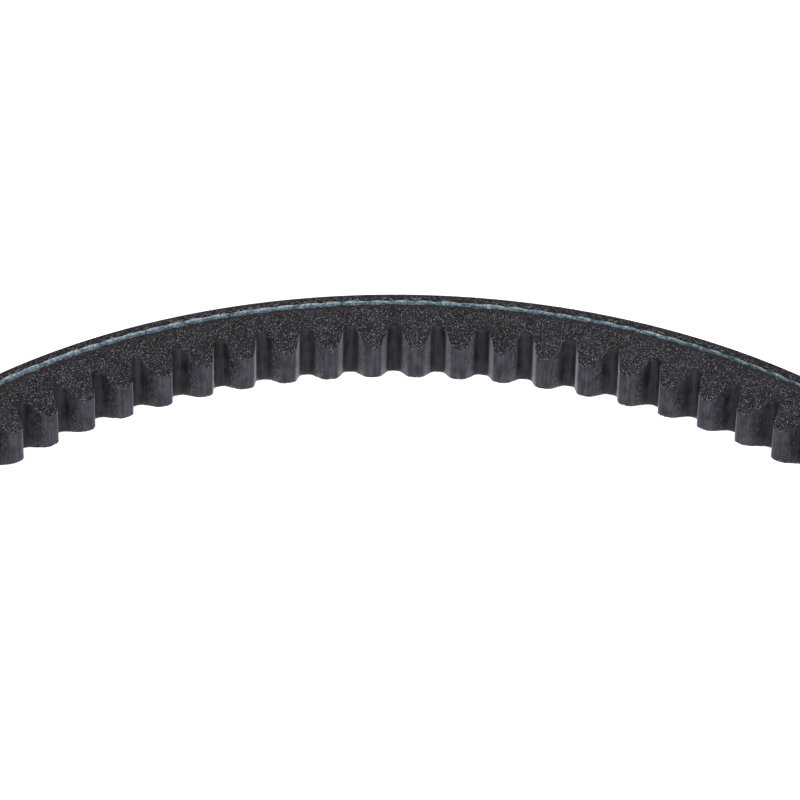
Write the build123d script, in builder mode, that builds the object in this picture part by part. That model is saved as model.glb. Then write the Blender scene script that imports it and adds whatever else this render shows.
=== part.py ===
from build123d import *
import os
from math import atan, pi, radians, tan

# Raw-edge, moulded-cog V-belt, lying flat: the loop's axis is +Z and the origin
# is the loop's centre, halfway up the belt's width. All lengths are millimetres.
# "Depth" is measured from the belt's back towards its cogs.

# ---- driving dimensions ----
outside_length = 590.0  # once round the back
top_width = 13.0  # across the back
belt_thickness = 10.0  # back to cog tips
flank_angle = 40.0  # included angle between the two cut flanks

fabric_ply_thickness = 0.35  # one ply of rubber-coated cloth
cord_diameter = 1.0
cord_turns = 10  # turns of cord side by side across the belt
cord_cover = 0.25  # rubber between the inner fabric ply and the cord
cord_bed = 0.2  # rubber between the cord and the compression rubber
cord_edge_inset = 0.25  # centre of an outermost turn, inside the flank

cog_count = 78
cog_depth = 4.05  # cog tip to notch floor
cog_tip_width = 2.1  # between the tip's corners before they are rounded
notch_floor_width = 1.8  # between the floor's corners before they are rounded
cog_tip_radius = 1.4
notch_floor_radius = 1.1
least_flat = 0.02  # of each half tip or half floor, that its rounding leaves

# ---- radii and depths that follow ----
back_radius = outside_length / (2 * pi)
tip_radius = back_radius - belt_thickness
notch_floor_line = tip_radius + cog_depth
notch_mouth_width = 2 * pi * tip_radius / cog_count - cog_tip_width
notch_side_slope = (notch_mouth_width - notch_floor_width) / 2 / cog_depth

outer_ply_depth = fabric_ply_thickness
inner_ply_depth = outer_ply_depth + fabric_ply_thickness
cord_line_depth = inner_ply_depth + cord_cover + cord_diameter / 2
bed_depth = cord_line_depth + cord_diameter / 2 + cord_bed
cord_line_radius = back_radius - cord_line_depth


def half_width(depth):
    """Half the belt's width at a depth below its back."""
    return top_width / 2 - depth * tan(radians(flank_angle / 2))


def layer_section(outer_depth, inner_depth):
    """Slice of the V section between two depths, on the XZ plane."""
    outer = back_radius - outer_depth
    inner = back_radius - inner_depth
    with BuildSketch(Plane.XZ) as section:
        with BuildLine():
            Polyline(
                (outer, -half_width(outer_depth)),
                (outer, half_width(outer_depth)),
                (inner, half_width(inner_depth)),
                (inner, -half_width(inner_depth)),
                close=True,
            )
        make_face()
    return section.sketch


cord_reach = half_width(cord_line_depth) - cord_edge_inset
cord_spacing = 2 * cord_reach / (cord_turns - 1)
cord_heights = [turn * cord_spacing - cord_reach for turn in range(cord_turns)]


def plain_layer(label, outer_depth, inner_depth):
    """Endless layer with no channels, such as a fabric ply."""
    with BuildPart() as layer:
        add(layer_section(outer_depth, inner_depth))
        revolve(axis=Axis.Z)
    layer.part.label = label
    return layer.part


def adhesion_layer(label, outer_depth, inner_depth):
    """Endless rubber layer with a half-round channel for each turn of cord."""
    with BuildPart() as layer:
        with BuildSketch(Plane.XZ):
            add(layer_section(outer_depth, inner_depth))
            with Locations(*[(cord_line_radius, height) for height in cord_heights]):
                Circle(cord_diameter / 2, mode=Mode.SUBTRACT)
        revolve(axis=Axis.Z)
    layer.part.label = label
    return layer.part


def cord_turn(label, height):
    """One turn of tensile cord; a flank shaves the outermost ones flat."""
    with BuildPart() as turn:
        with BuildSketch(Plane.XZ):
            with Locations((cord_line_radius, height)):
                Circle(cord_diameter / 2)
            add(layer_section(0, belt_thickness), mode=Mode.INTERSECT)
        revolve(axis=Axis.Z)
    turn.part.label = label
    return turn.part


def corner_radius(wanted, flat_width, turn):
    """Radius of a cog's corner, limited by the half flat that it rounds off."""
    room = (flat_width / 2 - least_flat) / tan(turn / 2)
    return min(wanted, room)


def notch_face():
    """Gap between two cogs, before rounding, opening towards the loop's centre."""
    overlap = cog_depth / 4
    start_width = notch_mouth_width + 2 * notch_side_slope * overlap
    with BuildSketch() as notch:
        with BuildLine():
            Polyline(
                (tip_radius - overlap, -start_width / 2),
                (notch_floor_line, -notch_floor_width / 2),
                (notch_floor_line, notch_floor_width / 2),
                (tip_radius - overlap, start_width / 2),
                close=True,
            )
        make_face()
    return notch.sketch


def cogged_layer(label, outer_depth):
    """Compression rubber: a plain strip that ends inwards in moulded cogs."""
    side_turn = pi / 2 - atan(notch_side_slope)
    tip_turn = side_turn + notch_mouth_width / 2 / tip_radius
    with BuildPart() as layer:
        with BuildSketch(Plane.XY.offset(-top_width / 2)) as outline:
            Circle(back_radius - outer_depth)
            Circle(tip_radius, mode=Mode.SUBTRACT)
            with PolarLocations(0, cog_count):
                add(notch_face(), mode=Mode.SUBTRACT)
            by_radius = outline.vertices().group_by(SortBy.DISTANCE)
            tip_corners, floor_corners = by_radius[:2]
            fillet(tip_corners, corner_radius(cog_tip_radius, cog_tip_width, tip_turn))
            fillet(floor_corners, corner_radius(notch_floor_radius, notch_floor_width, side_turn))
        extrude(amount=top_width)
        add(plain_layer(label, outer_depth, belt_thickness), mode=Mode.INTERSECT)
    layer.part.label = label
    return layer.part


# ---- the pieces, from the back inwards ----
pieces = [
    plain_layer("back_fabric_outer_ply", 0, outer_ply_depth),
    plain_layer("back_fabric_inner_ply", outer_ply_depth, inner_ply_depth),
    adhesion_layer("adhesion_rubber_outer", inner_ply_depth, cord_line_depth),
    adhesion_layer("adhesion_rubber_inner", cord_line_depth, bed_depth),
    cogged_layer("compression_rubber", bed_depth),
]
for number, height in enumerate(cord_heights, start=1):
    pieces.append(cord_turn(f"tensile_cord_turn_{number:02d}", height))

os.makedirs("parts", exist_ok=True)
for piece in pieces:
    export_step(piece, f"parts/{piece.label}.step")
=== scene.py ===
import math

import bpy
import numpy as np
from mathutils import Matrix, Vector


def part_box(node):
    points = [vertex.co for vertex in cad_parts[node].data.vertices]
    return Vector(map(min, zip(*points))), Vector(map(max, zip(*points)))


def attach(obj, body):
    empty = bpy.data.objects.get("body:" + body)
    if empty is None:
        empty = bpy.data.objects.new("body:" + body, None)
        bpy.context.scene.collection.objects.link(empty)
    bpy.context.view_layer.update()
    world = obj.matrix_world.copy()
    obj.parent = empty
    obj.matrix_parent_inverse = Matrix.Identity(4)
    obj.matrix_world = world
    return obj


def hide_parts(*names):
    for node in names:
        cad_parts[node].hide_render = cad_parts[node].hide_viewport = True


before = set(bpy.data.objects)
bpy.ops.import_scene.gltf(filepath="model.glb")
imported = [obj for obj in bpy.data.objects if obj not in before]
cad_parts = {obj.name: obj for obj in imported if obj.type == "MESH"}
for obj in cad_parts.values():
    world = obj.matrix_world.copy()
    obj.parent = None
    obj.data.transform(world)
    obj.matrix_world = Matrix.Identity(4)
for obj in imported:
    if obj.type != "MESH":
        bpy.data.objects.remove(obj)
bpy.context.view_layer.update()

# A raw-edge cogged V-belt lying flat, loop axis +Z, origin at the loop's centre.
# Angles run from +Y towards +X. Lengths are metres.
MM = 0.001
TAU = 2 * math.pi

# ---- the belt's section, from the frame ----
BACK_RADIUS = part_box("back_fabric_outer_ply")[1].y
HALF_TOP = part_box("back_fabric_outer_ply")[1].z
PLY_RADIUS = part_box("back_fabric_inner_ply")[1].y
GUM_RADIUS = 2 * PLY_RADIUS - BACK_RADIUS
CORD_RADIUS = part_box("adhesion_rubber_inner")[1].y
BED_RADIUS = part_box("compression_rubber")[1].y
FLANK_ANGLE = math.radians(20)
FLANK_NORMAL = np.array([-math.sin(FLANK_ANGLE), math.cos(FLANK_ANGLE)])  # (r, z), upper flank
FLANK_UP = np.array([math.cos(FLANK_ANGLE), math.sin(FLANK_ANGLE)])  # (r, z), towards the back

# ---- sizes of the same belt that the frame doesn't give ----
THICKNESS = 10.0 * MM
TIP_RADIUS = BACK_RADIUS - THICKNESS
COG_COUNT = 78
COG_DEPTH = 4.05 * MM
COG_TIP_WIDTH = 2.1 * MM
NOTCH_FLOOR_WIDTH = 1.8 * MM
COG_TIP_ROUNDING = 1.4 * MM
NOTCH_FLOOR_ROUNDING = 1.1 * MM
CORD_DIAMETER = 1.0 * MM
CORD_TURNS = 10
CORD_EDGE_INSET = 0.25 * MM

TEXTURE_ROWS = 6  # an endless strip is cut into this many rows on its texture map


def half_width(radius):
    """Half the belt's width at a radius."""
    return HALF_TOP - (BACK_RADIUS - radius) * math.tan(FLANK_ANGLE)


# ---------------------------------------------------------------- camera, light
def add_camera():
    """In front of the far arc and above it, a little rolled."""
    data = bpy.data.cameras.new("camera")
    data.lens, data.sensor_width = 166.3, 36.0
    data.clip_start, data.clip_end = 0.01, 20.0
    place = Vector((-4.78, -408.3, 319.9)) * MM
    heading, downward, roll = map(math.radians, (-0.278, 33.605, 1.357))
    turn = Matrix.Rotation(heading, 4, "Z") @ Matrix.Rotation(math.pi / 2 - downward, 4, "X")
    camera = bpy.data.objects.new("camera", data)
    camera.matrix_world = Matrix.Translation(place) @ turn @ Matrix.Rotation(roll, 4, "Z")
    bpy.context.scene.collection.objects.link(camera)
    bpy.context.scene.camera = camera


def add_lamp(name, azimuth, elevation, distance, size, power):
    """Soft square lamp that faces the belt's centre."""
    a, e = math.radians(azimuth), math.radians(elevation)
    away = Vector((math.sin(a) * math.cos(e), -math.cos(a) * math.cos(e), math.sin(e)))
    data = bpy.data.lights.new(name, "AREA")
    data.shape, data.size, data.energy = "SQUARE", size, power
    lamp = bpy.data.objects.new(name, data)
    lamp.location = away * distance
    lamp.rotation_mode = "QUATERNION"
    lamp.rotation_quaternion = away.to_track_quat("Z", "Y")
    bpy.context.scene.collection.objects.link(lamp)


def add_surroundings():
    """White studio: a world, four lamps and a floor that gives off some light."""
    world = bpy.data.worlds.new("studio")
    world.use_nodes = True
    background = world.node_tree.nodes["Background"]
    background.inputs["Color"].default_value = (1, 1, 1, 1)
    background.inputs["Strength"].default_value = 0.2
    bpy.context.scene.world = world
    bpy.context.scene.view_settings.view_transform = "Standard"
    add_lamp("top_lamp", -140, 70, 1.3, 0.5, 5)
    add_lamp("front_lamp", 0, 24, 1.3, 0.45, 16)
    add_lamp("right_lamp", 46, 33, 1.3, 0.45, 5)
    add_lamp("left_lamp", -46, 33, 1.3, 0.45, 2)
    side, level = 4.0, -HALF_TOP
    corners = [(x * side, y * side, level) for x, y in ((-1, -1), (1, -1), (1, 1), (-1, 1))]
    mesh = bpy.data.meshes.new("floor")
    mesh.from_pydata(corners, [], [(0, 1, 2, 3)])
    paint = Nodes("floor_paint", base=(0.85, 0.85, 0.85), roughness=0.9)
    paint.shader.inputs["Emission Color"].default_value = (1, 1, 1, 1)
    paint.shader.inputs["Emission Strength"].default_value = 0.8
    mesh.materials.append(paint.material)
    floor = bpy.data.objects.new("floor", mesh)
    bpy.context.scene.collection.objects.link(floor)


# ---------------------------------------------------------------- material helper
class Nodes:
    """A Principled material and short ways to add nodes to it."""

    def __init__(self, name, base=(0.5, 0.5, 0.5), **numbers):
        self.material = bpy.data.materials.new(name)
        self.material.use_nodes = True
        self.tree = self.material.node_tree
        self.shader = self.tree.nodes["Principled BSDF"]
        self.shader.inputs["Base Color"].default_value = (*base, 1)
        for key, value in numbers.items():
            socket = key.replace("_", " ").title().replace("Ior", "IOR")
            self.shader.inputs[socket].default_value = value

    def add(self, kind, inputs, output=0, **settings):
        """One output of a new node."""
        return self.add_node(kind, inputs, **settings).outputs[output]

    def add_node(self, kind, inputs, **settings):
        """A node with its inputs set or linked."""
        node = self.tree.nodes.new("ShaderNode" + kind)
        for key, value in settings.items():
            setattr(node, key, value)
        for key, value in inputs.items():
            if isinstance(value, bpy.types.NodeSocket):
                self.tree.links.new(value, node.inputs[key])
            else:
                node.inputs[key].default_value = value
        return node

    def math(self, operation, *values):
        return self.add("Math", dict(enumerate(values)), operation=operation)

    def mix(self, share, a, b):
        """Colour between a and b."""
        sides = [v if isinstance(v, bpy.types.NodeSocket) else (*v, 1) for v in (a, b)]
        inputs = {"Factor": share, 6: sides[0], 7: sides[1]}
        return self.add("Mix", inputs, output=2, data_type="RGBA")

    def ramp(self, value, start, end, low=0.0, high=1.0):
        """Smooth step of value from start to end, as a number from low to high."""
        inputs = {"Value": value, "From Min": start, "From Max": end, "To Min": low, "To Max": high}
        return self.add("MapRange", inputs, interpolation_type="SMOOTHSTEP")

    def place(self, *stretch):
        """Object coordinates, each axis multiplied by its number if three are given."""
        here = self.add("TexCoord", {}, output=3)
        if not stretch:
            return here
        return self.add("VectorMath", {0: here, 1: stretch}, operation="MULTIPLY")

    def noise(self, vector, size, detail=2.0):
        """Noise from 0 to 1 with features about size metres across."""
        return self.add("TexNoise", {"Vector": vector, "Scale": 1 / size, "Detail": detail})

    def cells(self, vector, size, output=0):
        """Voronoi cells about size across: 0 is the distance to a cell's centre, 1 its colour."""
        return self.add("TexVoronoi", {"Vector": vector, "Scale": 1 / size}, output=output)

    def bump(self, height, distance):
        """Normal of a surface raised by height times distance."""
        return self.add("Bump", {"Height": height, "Distance": distance, "Strength": 1.0})

    def finish(self, colour, roughness=None, normal=None):
        """The material, with what is given linked to its shader."""
        ends = {"Base Color": colour, "Roughness": roughness, "Normal": normal}
        for key, value in ends.items():
            if value is not None:
                self.tree.links.new(value, self.shader.inputs[key])
        return self.material


# ---------------------------------------------------------------- materials
def belt_radius(nodes, here):
    """Distance of a point from the loop's axis."""
    split = nodes.add_node("SeparateXYZ", {"Vector": here})
    square = nodes.math("MULTIPLY", split.outputs[0], split.outputs[0])
    square = nodes.math("MULTIPLY_ADD", split.outputs[1], split.outputs[1], square)
    return nodes.math("SQRT", square)


def cogged_rubber():
    """Ground and grainy on the flanks, where chopped fibre shows; smooth and bluish as moulded
    on the cogs, darkened into the notches as painted shade, with scuffs and a painted highlight on
    their sides."""
    nodes = Nodes("cogged_rubber", specular_ior_level=0.2, sheen_weight=0.34, sheen_roughness=0.3)
    nodes.shader.inputs["Sheen Tint"].default_value = (0.90, 0.86, 1.0, 1)
    here = nodes.place()
    radius = belt_radius(nodes, here)
    patches = nodes.noise(here, 2.5 * MM, 2.0)

    grain = nodes.noise(here, 0.21 * MM, 1.0)
    tone = nodes.ramp(nodes.math("MULTIPLY_ADD", patches, 0.2, grain), 0.53, 0.71)
    rubber = nodes.mix(tone, (0.0005, 0.0005, 0.0008), (0.032, 0.031, 0.038))
    spot = nodes.ramp(nodes.cells(here, 0.20 * MM), 0.44, 0.20)
    picked = nodes.add("SeparateColor", {"Color": nodes.cells(here, 0.20 * MM, output=1)})
    fibre = nodes.math("MULTIPLY", spot, nodes.ramp(picked, 0.45, 0.98))
    ground_colour = nodes.mix(fibre, rubber, (0.35, 0.34, 0.38))
    beside_cord = nodes.math("MULTIPLY_ADD", grain, 0.8 * MM, radius)
    beside_cord = nodes.ramp(beside_cord, BED_RADIUS - 0.5 * MM, BED_RADIUS + 0.5 * MM, 0.0, 0.75)
    ground_colour = nodes.mix(beside_cord, ground_colour, (0.018, 0.010, 0.011))

    streaks = nodes.noise(nodes.place(1, 1, 0.08), 0.40 * MM, 3.0)
    cloud = nodes.noise(here, 1.6 * MM, 4.0)
    # Painted shade: the moulded colour darkens from the cog tip into the notch, where less light
    # reaches.
    notch_shade_share = nodes.ramp(radius, TIP_RADIUS + 0.4 * MM, TIP_RADIUS + 2.0 * MM)
    tone = nodes.ramp(nodes.math("MULTIPLY_ADD", cloud, 1.2, streaks), 0.85, 1.35)
    tip = nodes.mix(tone, (0.0105, 0.0100, 0.0145), (0.035, 0.033, 0.046))
    # notch: the moulded rubber darkened as painted shade for the recess.
    notch = nodes.mix(tone, (0.0030, 0.0027, 0.0040), (0.0165, 0.0148, 0.0205))
    moulded_colour = nodes.mix(notch_shade_share, tip, notch)
    # Partly real scuffs, partly a painted highlight: a paler band down the cogs' sides, where their
    # rounded corners catch the side light.
    on_side = nodes.math(
        "MULTIPLY",
        nodes.ramp(radius, TIP_RADIUS + 0.15 * MM, TIP_RADIUS + 0.7 * MM),
        nodes.ramp(radius, TIP_RADIUS + 3.4 * MM, TIP_RADIUS + 2.2 * MM),
    )
    scuffs = nodes.noise(nodes.place(1, 1, 0.45), 0.22 * MM, 2.0)
    scuffs_and_highlight = nodes.math("MULTIPLY", on_side, nodes.ramp(scuffs, 0.46, 0.70))
    moulded_colour = nodes.mix(scuffs_and_highlight, moulded_colour, (0.040, 0.037, 0.044))

    inside_edge = nodes.add("Attribute", {}, output=2, attribute_name="inside_edge")
    inside_edge = nodes.math("MULTIPLY_ADD", nodes.noise(here, 0.5 * MM), 0.9, inside_edge)
    ground = nodes.ramp(inside_edge, 0.15, 0.40)
    colour = nodes.mix(ground, moulded_colour, ground_colour)
    rough = nodes.add("Mix", {0: ground, 2: nodes.ramp(cloud, 0.35, 0.65, 0.5, 0.65), 3: 0.55})
    ground_relief = nodes.math("MULTIPLY_ADD", fibre, 0.5, grain)
    moulded_relief = nodes.math("MULTIPLY_ADD", scuffs_and_highlight, 0.3, nodes.math("MULTIPLY", streaks, 0.2))
    relief = nodes.add("Mix", {0: ground, 2: moulded_relief, 3: ground_relief})
    return nodes.finish(colour, rough, nodes.bump(relief, 0.12 * MM))


def gum_rubber():
    """Cut edge of the adhesion rubber: brownish black, torn rather than ground."""
    nodes = Nodes("gum_rubber", specular_ior_level=0.3)
    grain = nodes.noise(nodes.place(), 0.26 * MM, 2.0)
    tone = nodes.ramp(grain, 0.42, 0.68)
    colour = nodes.mix(tone, (0.0015, 0.0013, 0.0012), (0.030, 0.027, 0.024))
    rough = nodes.ramp(grain, 0.3, 0.7, 0.8, 0.65)
    return nodes.finish(colour, rough, nodes.bump(grain, 0.15 * MM))


def ply_cloth():
    """Rubber-coated bias cloth: threads show through the coat as a fine weave."""
    nodes = Nodes("ply_cloth", specular_ior_level=0.12, roughness=0.75)
    thread = nodes.add("Attribute", {}, output=2, attribute_name="thread")
    fluff = nodes.noise(nodes.place(), 0.24 * MM, 2.0)
    dirt = nodes.noise(nodes.place(), 6.0 * MM, 3.0)
    tone = nodes.math("MULTIPLY_ADD", fluff, 1.8, nodes.math("MULTIPLY", thread, 0.5))
    coat = nodes.mix(nodes.ramp(tone, 0.95, 1.45), (0.004, 0.003, 0.005), (0.072, 0.063, 0.078))
    colour = nodes.mix(nodes.ramp(dirt, 0.45, 0.75, 0.0, 0.35), coat, (0.036, 0.033, 0.037))
    relief = nodes.math("MULTIPLY_ADD", fluff, 0.8, thread)
    return nodes.finish(colour, normal=nodes.bump(relief, 0.10 * MM))


def cord_polyester():
    """Twisted cord, dyed blue, paler where the cut has opened its filaments."""
    nodes = Nodes("cord_polyester", specular_ior_level=0.3)
    opened = nodes.add("Attribute", {}, output=2, attribute_name="opened")
    along = nodes.add("UVMap", {}, uv_map="filaments")
    filaments = nodes.add("TexNoise", {"Vector": along, "Scale": 1.0, "Detail": 2.0})
    here = nodes.place()
    blotch = nodes.noise(here, 0.7 * MM, 2.0)
    radius = belt_radius(nodes, here)
    upper = nodes.ramp(radius, CORD_RADIUS - 0.45 * MM, CORD_RADIUS + 0.40 * MM)
    tone = nodes.math("MULTIPLY_ADD", filaments, 1.1, nodes.math("MULTIPLY", blotch, 0.3))
    tone = nodes.math("MULTIPLY_ADD", nodes.noise(here, 0.2 * MM, 1.0), 0.8, tone)
    tone = nodes.math("MULTIPLY_ADD", upper, 0.30, tone)
    deep = nodes.mix(nodes.ramp(tone, 0.92, 1.28), (0.014, 0.036, 0.064), (0.078, 0.140, 0.185))
    cut = nodes.mix(nodes.ramp(tone, 1.20, 1.48), deep, (0.40, 0.47, 0.49))
    coat = nodes.mix(nodes.ramp(tone, 0.9, 1.5), (0.008, 0.014, 0.020), (0.05, 0.08, 0.10))
    colour = nodes.mix(nodes.ramp(opened, 0.0, 0.8), coat, cut)
    rough = nodes.ramp(filaments, 0.3, 0.7, 0.8, 0.6)
    return nodes.finish(colour, rough, nodes.bump(filaments, 0.10 * MM))


def loose_fibre():
    """Stray filament ends: pale blue from the cord, straw-coloured from the cloth."""
    nodes = Nodes("loose_fibre", roughness=0.6)
    pick = nodes.noise(nodes.place(), 0.9 * MM, 1.0)
    pale = nodes.mix(nodes.ramp(pick, 0.35, 0.5), (0.10, 0.15, 0.18), (0.26, 0.31, 0.31))
    colour = nodes.mix(nodes.ramp(pick, 0.50, 0.56), pale, (0.26, 0.27, 0.16))
    return nodes.finish(colour)


# ---------------------------------------------------------------- mesh helpers
def smooth_noise(seed, columns, rows, length, width, grain):
    """Random heights on a strip's grid: periodic, spread 1, blurred to features of grain's size."""
    heights = np.random.default_rng(seed).standard_normal((columns, rows))
    along = np.fft.fftfreq(columns, length / columns)[:, None]
    across = np.fft.fftfreq(rows, width / rows)[None, :]
    blur = np.exp(-2 * (math.pi * grain / 3) ** 2 * (along**2 + across**2))
    heights = np.fft.ifft2(np.fft.fft2(heights) * blur).real
    return (heights - heights.mean()) / heights.std()


def ring_points(angles, radii, heights):
    """Points on rings: angle from +Y towards +X, one row of points to each angle."""
    turned = np.broadcast_to(angles[:, None], radii.shape)
    return np.stack([radii * np.sin(turned), radii * np.cos(turned), heights], axis=-1)


def strip_map(columns, lengths):
    """Bake coordinates of a closed strip's quads, cut into TEXTURE_ROWS rows."""
    margin = 0.004
    per_row = columns // TEXTURE_ROWS
    column = np.arange(columns)
    start = (column % per_row) / per_row
    across = np.concatenate([[0], np.cumsum(lengths)]) / lengths.sum()
    rows = len(lengths)
    u = np.stack([start, start, start + 1 / per_row, start + 1 / per_row], axis=-1)
    v = np.stack([across[:-1], across[1:], across[1:], across[:-1]], axis=-1)
    u = np.broadcast_to(u[:, None, :], (columns, rows, 4))
    v = np.broadcast_to(v[None, :, :], (columns, rows, 4))
    row = (column // per_row)[:, None, None]
    u = margin + u * (1 - 2 * margin)
    v = (row + margin * TEXTURE_ROWS + v * (1 - 2 * margin * TEXTURE_ROWS)) / TEXTURE_ROWS
    return np.stack([u, v], axis=-1)


def closed_loft(name, points, hidden_rows=(), uv_maps=None):
    """Mesh of quads through points[column, row], closed both ways, with a bake map.

    A hidden row is a face against another piece: it is flat and gets little of the map.
    """
    columns, rows, _ = points.shape
    index = np.arange(columns * rows).reshape(columns, rows)
    quads = np.stack([index, np.roll(index, -1, 1), np.roll(index, (-1, -1), (0, 1)),
                      np.roll(index, -1, 0)], axis=-1)
    lengths = np.linalg.norm(np.roll(points, -1, 1) - points, axis=-1).mean(0)
    hidden_scale = 0.1
    lengths[list(hidden_rows)] *= hidden_scale
    maps = {"OFBake": strip_map(columns, lengths), **(uv_maps or {})}
    corner = points.reshape(-1, 3)[quads.reshape(-1, 4)]
    volume = np.einsum("ij,ij->i", corner[:, 0], np.cross(corner[:, 1], corner[:, 2])).sum()
    if volume < 0:
        quads = quads[..., ::-1]
        maps = {key: uv[:, :, ::-1] for key, uv in maps.items()}
    mesh = bpy.data.meshes.new(name)
    mesh.vertices.add(columns * rows)
    mesh.vertices.foreach_set("co", points.ravel())
    mesh.loops.add(quads.size)
    mesh.loops.foreach_set("vertex_index", quads.ravel().astype(np.int32))
    mesh.polygons.add(columns * rows)
    mesh.polygons.foreach_set("loop_start", np.arange(0, quads.size, 4, dtype=np.int32))
    mesh.update(calc_edges=True)
    for key, uv in maps.items():
        mesh.uv_layers.new(name=key).uv.foreach_set("vector", uv.ravel().astype(np.float32))
    flat = np.zeros((columns, rows), bool)
    flat[:, list(hidden_rows)] = True
    mesh.polygons.foreach_set("use_smooth", ~flat.ravel())
    return mesh


def add_piece(mesh, material, replaced=()):
    piece = bpy.data.objects.new(mesh.name, mesh)
    mesh.materials.append(material)
    bpy.context.scene.collection.objects.link(piece)
    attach(piece, "root")
    if replaced:
        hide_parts(*replaced)
    return piece


def vertex_number(mesh, name, values):
    """Stores one number for each vertex, for a material to read."""
    mesh.attributes.new(name, "FLOAT", "POINT").data.foreach_set("value", values.ravel())


# ---------------------------------------------------------------- compression rubber
def rounded_corner(before, corner, after, radius, steps=12):
    """Arc of a radius that rounds off a corner between two straight runs."""
    a = (before - corner) / np.linalg.norm(before - corner)
    b = (after - corner) / np.linalg.norm(after - corner)
    half = math.acos(a @ b) / 2
    centre = corner + (a + b) / np.linalg.norm(a + b) * radius / math.sin(half)
    start = corner + a * radius / math.tan(half) - centre
    end = corner + b * radius / math.tan(half) - centre
    sweep = math.pi - 2 * half
    share = np.linspace(0, 1, steps)[:, None]
    turned = np.sin((1 - share) * sweep) * start + np.sin(share * sweep) * end
    return centre + turned / math.sin(sweep)


def cog_outline(steps):
    """Angles from a notch's centre and radii along one cog pitch, in even steps."""
    half_pitch = math.pi / COG_COUNT
    mouth = 2 * half_pitch * TIP_RADIUS - COG_TIP_WIDTH
    floor = TIP_RADIUS + COG_DEPTH
    notch_centre = np.array([floor, 0.0])
    floor_corner = np.array([floor, NOTCH_FLOOR_WIDTH / 2])
    tip_corner = np.array([TIP_RADIUS, mouth / 2])
    tip_centre = TIP_RADIUS * np.array([math.cos(half_pitch), math.sin(half_pitch)])
    half = np.vstack([
        notch_centre,
        rounded_corner(notch_centre, floor_corner, tip_corner, NOTCH_FLOOR_ROUNDING),
        rounded_corner(floor_corner, tip_corner, tip_centre, COG_TIP_ROUNDING),
        tip_centre,
    ])
    angle, radius = np.arctan2(half[:, 1], half[:, 0]), np.hypot(*half.T)
    angle = np.concatenate([angle, 2 * half_pitch - angle[-2::-1]])
    radius = np.concatenate([radius, radius[-2::-1]])
    steepness_share = 0.5
    step = np.hypot(np.diff(angle) * radius[1:], steepness_share * np.diff(radius))
    travelled = np.concatenate([[0], np.cumsum(step)])
    even = np.linspace(0, travelled[-1], steps, endpoint=False)
    return np.interp(even, travelled, angle), np.interp(even, travelled, radius)


def add_compression_rubber():
    """Ground flanks, and moulded cogs in one piece with them."""
    steps, flank_rows, face_rows = 24, 19, 12
    columns = COG_COUNT * steps
    angle, radius = cog_outline(steps)
    pitch = TAU / COG_COUNT
    first_notch = pitch / 2  # a cog is centred on angle 0
    angles = np.concatenate([first_notch + number * pitch + angle for number in range(COG_COUNT)])
    inner = np.tile(radius, COG_COUNT)
    length = TAU * BED_RADIUS

    in_notch = np.clip((inner - TIP_RADIUS) / COG_DEPTH * 2 - 1, 0, 1) ** 2
    jitter = smooth_noise(1, columns, 1, length, MM, 0.7 * MM)[:, 0]
    edge = (0.12 + 0.04 * jitter + 0.16 * in_notch) * MM
    flanks = []
    for seed, side in ((2, 1), (3, -1)):
        share = np.linspace(0, 1, flank_rows - 1) ** 0.9
        share = np.insert(share, 1, 0.003)[None, :]  # keeps the hidden face's shading off the flank
        lowest = inner + edge * FLANK_UP[0]
        r = BED_RADIUS - share * (BED_RADIUS - lowest)[:, None]
        z = half_width(r)
        grain = smooth_noise(seed, columns, flank_rows, length, THICKNESS, 0.45 * MM)
        sweep = smooth_noise(seed + 10, columns, flank_rows, length, THICKNESS, 5 * MM)
        proud = np.clip(0.016 * grain + 0.012 * sweep, -0.06, 0.035) * MM
        flanks.append((r + proud * FLANK_NORMAL[0], side * (z + proud * FLANK_NORMAL[1])))
        from_edge = (r - lowest[:, None]) / FLANK_UP[0]
    (upper_r, upper_z), (lower_r, lower_z) = flanks

    top = half_width(inner) - edge
    face_z = top[:, None] * np.linspace(1, -1, face_rows)[None, :]
    waves = smooth_noise(4, columns, face_rows, length, 2 * HALF_TOP, 2.2 * MM)
    face_r = inner[:, None] + 0.012 * MM * waves

    r = np.hstack([upper_r, face_r, lower_r[:, ::-1]])
    z = np.hstack([upper_z, face_z, lower_z[:, ::-1]])
    mesh = closed_loft("cogged_compression_rubber", ring_points(angles, r, z), hidden_rows=[-1])
    down_face = np.abs(face_z) - top[:, None]
    inside_edge = np.hstack([from_edge, down_face, from_edge[:, ::-1]]) / MM
    notch_shade_over_rim = 0.35 * in_notch[:, None]  # the moulded skin, with its painted notch shade, runs on over a notch's rim
    vertex_number(mesh, "inside_edge", (inside_edge - notch_shade_over_rim).astype(np.float32))
    add_piece(mesh, cogged_rubber(), ["compression_rubber"])


# ---------------------------------------------------------------- plies
def weave_height(s, z, pitch, bias):
    """Height from 0 to 1 of a plain weave whose threads cross a strip at a bias."""
    u = (s * math.cos(bias) + z * math.sin(bias)) / pitch
    v = (s * math.cos(bias) - z * math.sin(bias)) / pitch
    over = np.abs(np.sin(math.pi * u)) * (0.6 + 0.4 * np.cos(math.pi * (v + 0.5 + np.floor(u))))
    under = np.abs(np.sin(math.pi * v)) * (0.6 - 0.4 * np.cos(math.pi * (u + 0.5 + np.floor(v))))
    return np.maximum(over, under)


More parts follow.
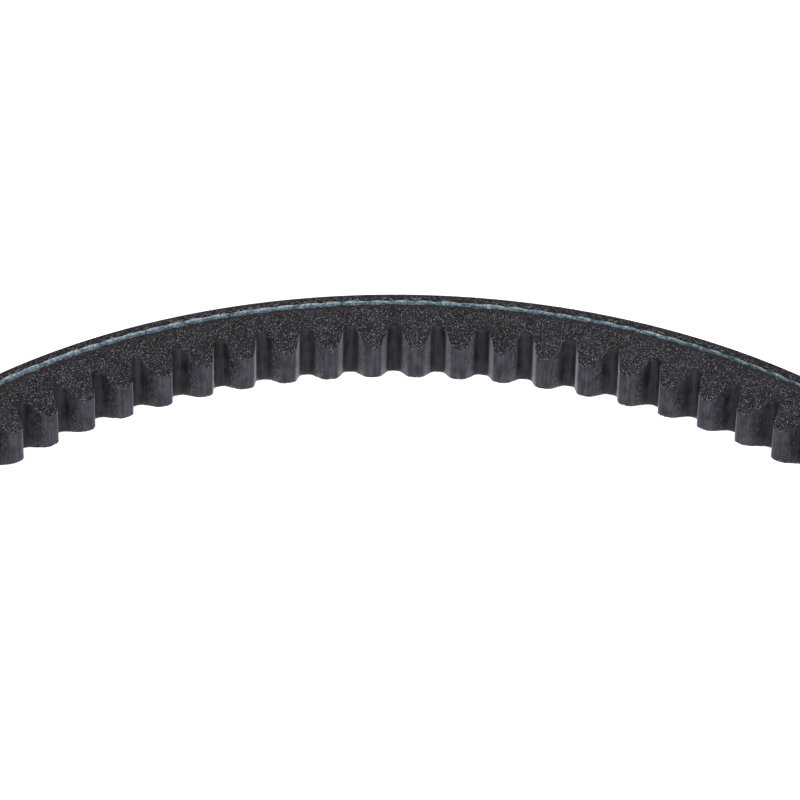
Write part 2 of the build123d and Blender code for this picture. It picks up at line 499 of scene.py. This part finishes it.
def ply_mesh(name, outer_radius, inner_radius, columns, face_rows, relief, seed):
    """Endless cloth ply: a woven outer face, and cut edges where thread ends stand out."""
    length = TAU * outer_radius
    angles = np.linspace(0, TAU, columns, endpoint=False)
    bias, wanted_pitch = math.radians(50), 0.95 * MM
    threads = 2 * round(length * math.cos(bias) / wanted_pitch / 2)
    pitch = length * math.cos(bias) / threads
    top = half_width(outer_radius)
    face_z = np.linspace(-top, top, face_rows)[None, :] * np.ones((columns, 1))
    height = weave_height(angles[:, None] * outer_radius, face_z, pitch, bias)
    face_r = outer_radius - relief * (1 - height)

    def edge(offset, share, ends):
        """Radii and half widths of a cut edge, a share of the way through the ply."""
        wear = smooth_noise(seed + offset, columns, 1, length, MM, 0.7 * MM)
        proud = (0.03 * wear + 0.10 * (ends - 0.5) * (1 - share)) * MM
        radius = outer_radius + (inner_radius - outer_radius) * share
        return radius + proud * FLANK_NORMAL[0], half_width(radius) + proud * FLANK_NORMAL[1]

    lower_ends, upper_ends = height[:, :1], height[:, -1:]
    upper = [edge(0, 0.15, upper_ends), edge(1, 0.5, upper_ends), edge(2, 0.85, upper_ends)]
    lower = [edge(4, 0.85, lower_ends), edge(5, 0.5, lower_ends), edge(6, 0.15, lower_ends)]
    r = np.hstack([face_r] + [radius for radius, _ in upper + lower])
    z = np.hstack([face_z] + [level for _, level in upper] + [-level for _, level in lower])
    inner_face = face_rows + len(upper) - 1
    mesh = closed_loft(name, ring_points(angles, r, z), hidden_rows=[inner_face])
    edge_thread = np.full((columns, len(upper + lower)), 0.5)
    vertex_number(mesh, "thread", np.hstack([height, edge_thread]).astype(np.float32))
    return mesh


def add_plies():
    cloth = ply_cloth()
    outer = ply_mesh("back_ply_outer_cloth", BACK_RADIUS, PLY_RADIUS, 2340, 36, 0.09 * MM, 20)
    add_piece(outer, cloth, ["back_fabric_outer_ply"])
    inner = ply_mesh("back_ply_inner_cloth", PLY_RADIUS, GUM_RADIUS, 1560, 4, 0.0, 30)
    add_piece(inner, cloth, ["back_fabric_inner_ply"])


# ---------------------------------------------------------------- cord and its gum
def cord_heights(angles):
    """Heights of the turns at each angle; the outermost wander a little at the cut."""
    reach = half_width(CORD_RADIUS) - CORD_EDGE_INSET
    heights = np.linspace(-reach, reach, CORD_TURNS)[None, :] * np.ones((len(angles), 1))
    wander = 0.22 * MM * np.sin(angles)
    heights[:, -1] -= wander
    heights[:, 0] -= wander
    return heights


def add_gum(name, far_radius, direction, material, replaced):
    """Adhesion rubber with a half-round channel for each turn of cord.

    It lies outside the cord's line (direction 1) or inside it (-1), as far as far_radius.
    """
    columns, arc_steps = 468, 6
    angles = np.linspace(0, TAU, columns, endpoint=False)
    centres = cord_heights(angles)
    half_cord = CORD_DIAMETER / 2
    ones = np.ones((columns, 1))
    far_half = half_width(far_radius)
    r, z = [far_radius * ones, far_radius * ones], [far_half * ones, -far_half * ones]
    for turn in range(CORD_TURNS):
        centre = centres[:, turn : turn + 1]
        inset = (half_width(CORD_RADIUS) - np.abs(centre)) / half_cord
        meets_flank = np.arccos(np.minimum(inset, 1) * math.cos(FLANK_ANGLE))
        meets_flank = meets_flank - direction * FLANK_ANGLE
        first = math.pi - meets_flank if turn == 0 else math.pi * ones
        last = meets_flank if turn == CORD_TURNS - 1 else 0 * ones
        sweep = first + (last - first) * np.linspace(0, 1, arc_steps)[None, :]
        r.append(CORD_RADIUS + direction * half_cord * np.sin(sweep))
        z.append(centre + half_cord * np.cos(sweep))
    mesh = closed_loft(name, ring_points(angles, np.hstack(r), np.hstack(z)), hidden_rows=[0])
    mesh.shade_flat()
    add_piece(mesh, material, [replaced])


def cut_turn_meshes(name, side, turn, seed):
    """Outermost turn: three twisted strands, shaved flat where the flank was cut."""
    columns, around, strands = 1560, 12, 3
    length, lay = TAU * CORD_RADIUS, 11 * MM
    lay_count = round(length / lay)
    filament_slant, filament_fineness = 5.8, 2.8
    strand_radius, twist_radius = 0.35 * MM, 0.20 * MM
    angles = np.linspace(0, TAU, columns, endpoint=False)
    centre_z = side * cord_heights(angles)[:, turn]
    flank_z = half_width(CORD_RADIUS)
    psi = np.linspace(0, TAU, around, endpoint=False)[None, :]
    meshes = []
    for strand in range(strands):
        phase = lay_count * angles * side + TAU * strand / strands
        swell = 1 + 0.06 * smooth_noise(seed + strand, columns, 1, length, MM, 3 * MM)
        up = twist_radius * np.cos(phase)[:, None] + strand_radius * swell * np.cos(psi)
        out = twist_radius * np.sin(phase)[:, None] + strand_radius * swell * np.sin(psi)
        tufts = smooth_noise(seed + 5 + strand, columns, around, length, 3 * MM, 0.5 * MM)
        proud = (0.03 + 0.025 * tufts) * MM
        centre_out = (centre_z - flank_z)[:, None] * FLANK_NORMAL[1]
        cut_off = np.maximum(out + centre_out - proud, 0)
        out = out - cut_off
        r = CORD_RADIUS + up * FLANK_UP[0] + out * FLANK_NORMAL[0]
        z = centre_z[:, None] + up * FLANK_UP[1] + out * FLANK_NORMAL[1]
        s = angles[:, None] * CORD_RADIUS / MM
        spread = psi / TAU * around / 2
        corners_s = np.stack([s, s, s + length / MM / columns, s + length / MM / columns], -1)
        corners_p = np.stack([spread, spread + 0.5, spread + 0.5, spread], -1)
        across = filament_slant * corners_s + filament_fineness * corners_p
        filaments = np.stack(np.broadcast_arrays(corners_s, across), -1)
        mesh = closed_loft(f"{name}_strand_{strand + 1}", ring_points(angles, r, side * z),
                           uv_maps={"filaments": filaments})
        fully_opened = 0.13 * MM
        vertex_number(mesh, "opened", np.clip(cut_off / fully_opened, 0, 1).astype(np.float32))
        meshes.append(mesh)
    return meshes


def add_cord():
    """Cut turns at both flanks, and the cord's material on the turns between them."""
    material = cord_polyester()
    for name, side, turn, node in (
        ("cord_at_upper_flank", 1, CORD_TURNS - 1, "tensile_cord_turn_10"),
        ("cord_at_lower_flank", -1, 0, "tensile_cord_turn_01"),
    ):
        for mesh in cut_turn_meshes(name, side, turn, 40 + turn):
            add_piece(mesh, material, [node])
    for turn in range(2, CORD_TURNS):
        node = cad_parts[f"tensile_cord_turn_{turn:02d}"]
        for slot in node.material_slots:
            slot.material = material


def add_fibres():
    """Filament ends that the cut has pulled out beside the cord, on both flanks."""
    rng = np.random.default_rng(60)
    per_flank, rings, sides = 900, 5, 4
    count = 2 * per_flank
    side = np.repeat([1, -1], per_flank)
    angle = rng.uniform(0, TAU, count)
    over = rng.random(count) < 0.75
    above, below = rng.normal(0.50, 0.07, count), rng.normal(-0.42, 0.06, count)
    start = CORD_RADIUS + np.where(over, above, below) * MM
    length = rng.uniform(0.30, 0.85, count) * MM
    slant = rng.normal(0.35, 0.30, count) * np.where(over, 1, -0.5)
    heading = rng.choice([-1, 1], count)
    curl = rng.normal(0, 0.25, count)
    thickness = rng.uniform(0.022, 0.050, count) * MM
    share = np.linspace(0, 1, rings)[None, :]
    along = heading[:, None] * length[:, None] * share
    across = length[:, None] * (slant[:, None] * share + curl[:, None] * share**2)
    lift = 0.015 * MM + length[:, None] * 0.12 * share**2
    r = start[:, None] + across * FLANK_UP[0] + lift * FLANK_NORMAL[0]
    z = half_width(start[:, None]) + across * FLANK_UP[1] + lift * FLANK_NORMAL[1]
    turned = angle[:, None] + along / r
    taper = thickness[:, None] * (1 - 0.6 * share)
    psi = np.linspace(0, TAU, sides, endpoint=False)
    up = taper[:, :, None] * np.cos(psi)
    out = taper[:, :, None] * np.sin(psi)
    rr = r[:, :, None] + up * FLANK_UP[0] + out * FLANK_NORMAL[0]
    zz = (z[:, :, None] + up * FLANK_UP[1] + out * FLANK_NORMAL[1]) * side[:, None, None]
    turned = turned[:, :, None]
    points = np.stack([rr * np.sin(turned), rr * np.cos(turned), zz], -1)
    grid = np.arange(rings * sides).reshape(rings, sides)
    wall = np.stack([grid[:-1], np.roll(grid, -1, 1)[:-1], np.roll(grid, -1, 1)[1:], grid[1:]], -1)
    one = np.vstack([wall.reshape(-1, 4), grid[0][::-1][None], grid[-1][None]])
    quads = (one[None] + (np.arange(count) * rings * sides)[:, None, None]).reshape(-1, 4)
    mesh = bpy.data.meshes.new("frayed_filaments")
    mesh.from_pydata(points.reshape(-1, 3).tolist(), [], quads.tolist())
    mesh.shade_smooth()
    add_piece(mesh, loose_fibre())


# ---------------------------------------------------------------- the scene
add_camera()
add_surroundings()
add_compression_rubber()
add_plies()
gum = gum_rubber()
add_gum("adhesion_gum_outer", GUM_RADIUS, 1, gum, "adhesion_rubber_outer")
add_gum("adhesion_gum_inner", BED_RADIUS, -1, gum, "adhesion_rubber_inner")
add_cord()
add_fibres()
